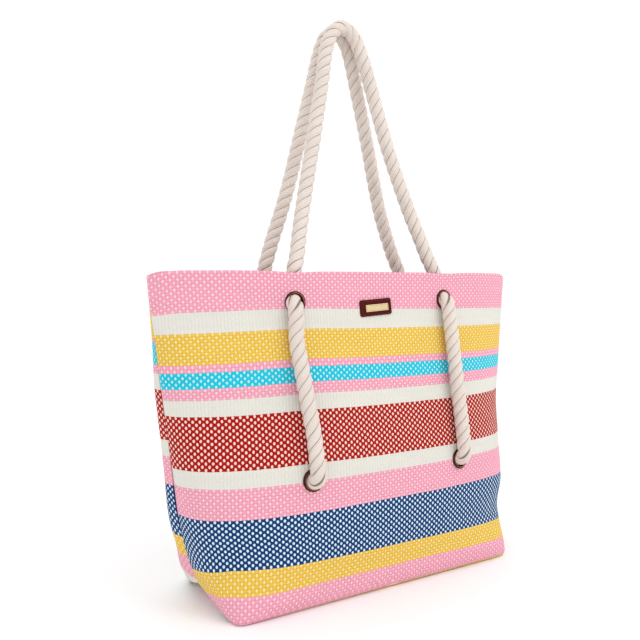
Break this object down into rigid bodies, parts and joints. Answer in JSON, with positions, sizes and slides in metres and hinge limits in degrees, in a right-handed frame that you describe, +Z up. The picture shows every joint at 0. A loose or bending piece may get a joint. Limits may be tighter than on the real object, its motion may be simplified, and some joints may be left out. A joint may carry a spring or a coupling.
{
  "type": "beach tote bag",
  "caption": "Open-topped striped woven beach tote with rope handles threaded through metal eyelets and knotted inside, a leather label patch and a lined interior.",
  "frame": {"origin": "on the floor, at the middle of the base", "axes": "+Z up; the front panel, with the label, faces -Y; +X is to the right seen from the front"},
  "size_m": [0.538, 0.202, 0.7003],
  "materials": {
    "striped_cloth": "plain-weave cotton in horizontal bands of pink, white, yellow, cyan, red and blue, matte",
    "facing_cloth": "woven cotton in pink, matte",
    "lining_cloth": "unbleached cotton, matte",
    "board": "grey-brown fibreboard, matte",
    "eyelet_metal": "antiqued dark brass with bright worn edges",
    "washer_metal": "antiqued brass, satin",
    "rope": "laid three-strand cotton rope, cream, matte",
    "leather": "dark maroon leather, semi-matte",
    "plate_metal": "brushed pale gold, blank",
    "snap_metal": "antiqued brass, satin"
  },
  "bodies": {
    "bag": {"front_panel": "striped_cloth", "rear_panel": "striped_cloth", "top_facing": "facing_cloth", "lining": "lining_cloth", "slip_pocket": "lining_cloth", "base_board": "board", "front_eyelets": "eyelet_metal", "rear_eyelets": "eyelet_metal", "front_eyelet_washers": "washer_metal", "rear_eyelet_washers": "washer_metal", "front_rope_left": "rope", "front_rope_right": "rope", "rear_rope_left": "rope", "rear_rope_right": "rope", "front_knots": "rope", "rear_knots": "rope", "label_patch": "leather", "label_plate": "plate_metal", "snap_stud": "snap_metal", "snap_socket": "snap_metal"},
    "front_handle": {"front_handle_loop": "rope"},
    "rear_handle": {"rear_handle_loop": "rope"}
  },
  "joints": [
    {"name": "front_handle_swing", "type": "hinge", "parent": "bag", "child": "front_handle", "pos_m": [0, -0.048, 0.38], "axis": [1, 0, 0], "range_deg": [0, 165]},
    {"name": "rear_handle_swing", "type": "hinge", "parent": "bag", "child": "rear_handle", "pos_m": [0, 0.048, 0.38], "axis": [-1, 0, 0], "range_deg": [0, 160]}
  ]
}
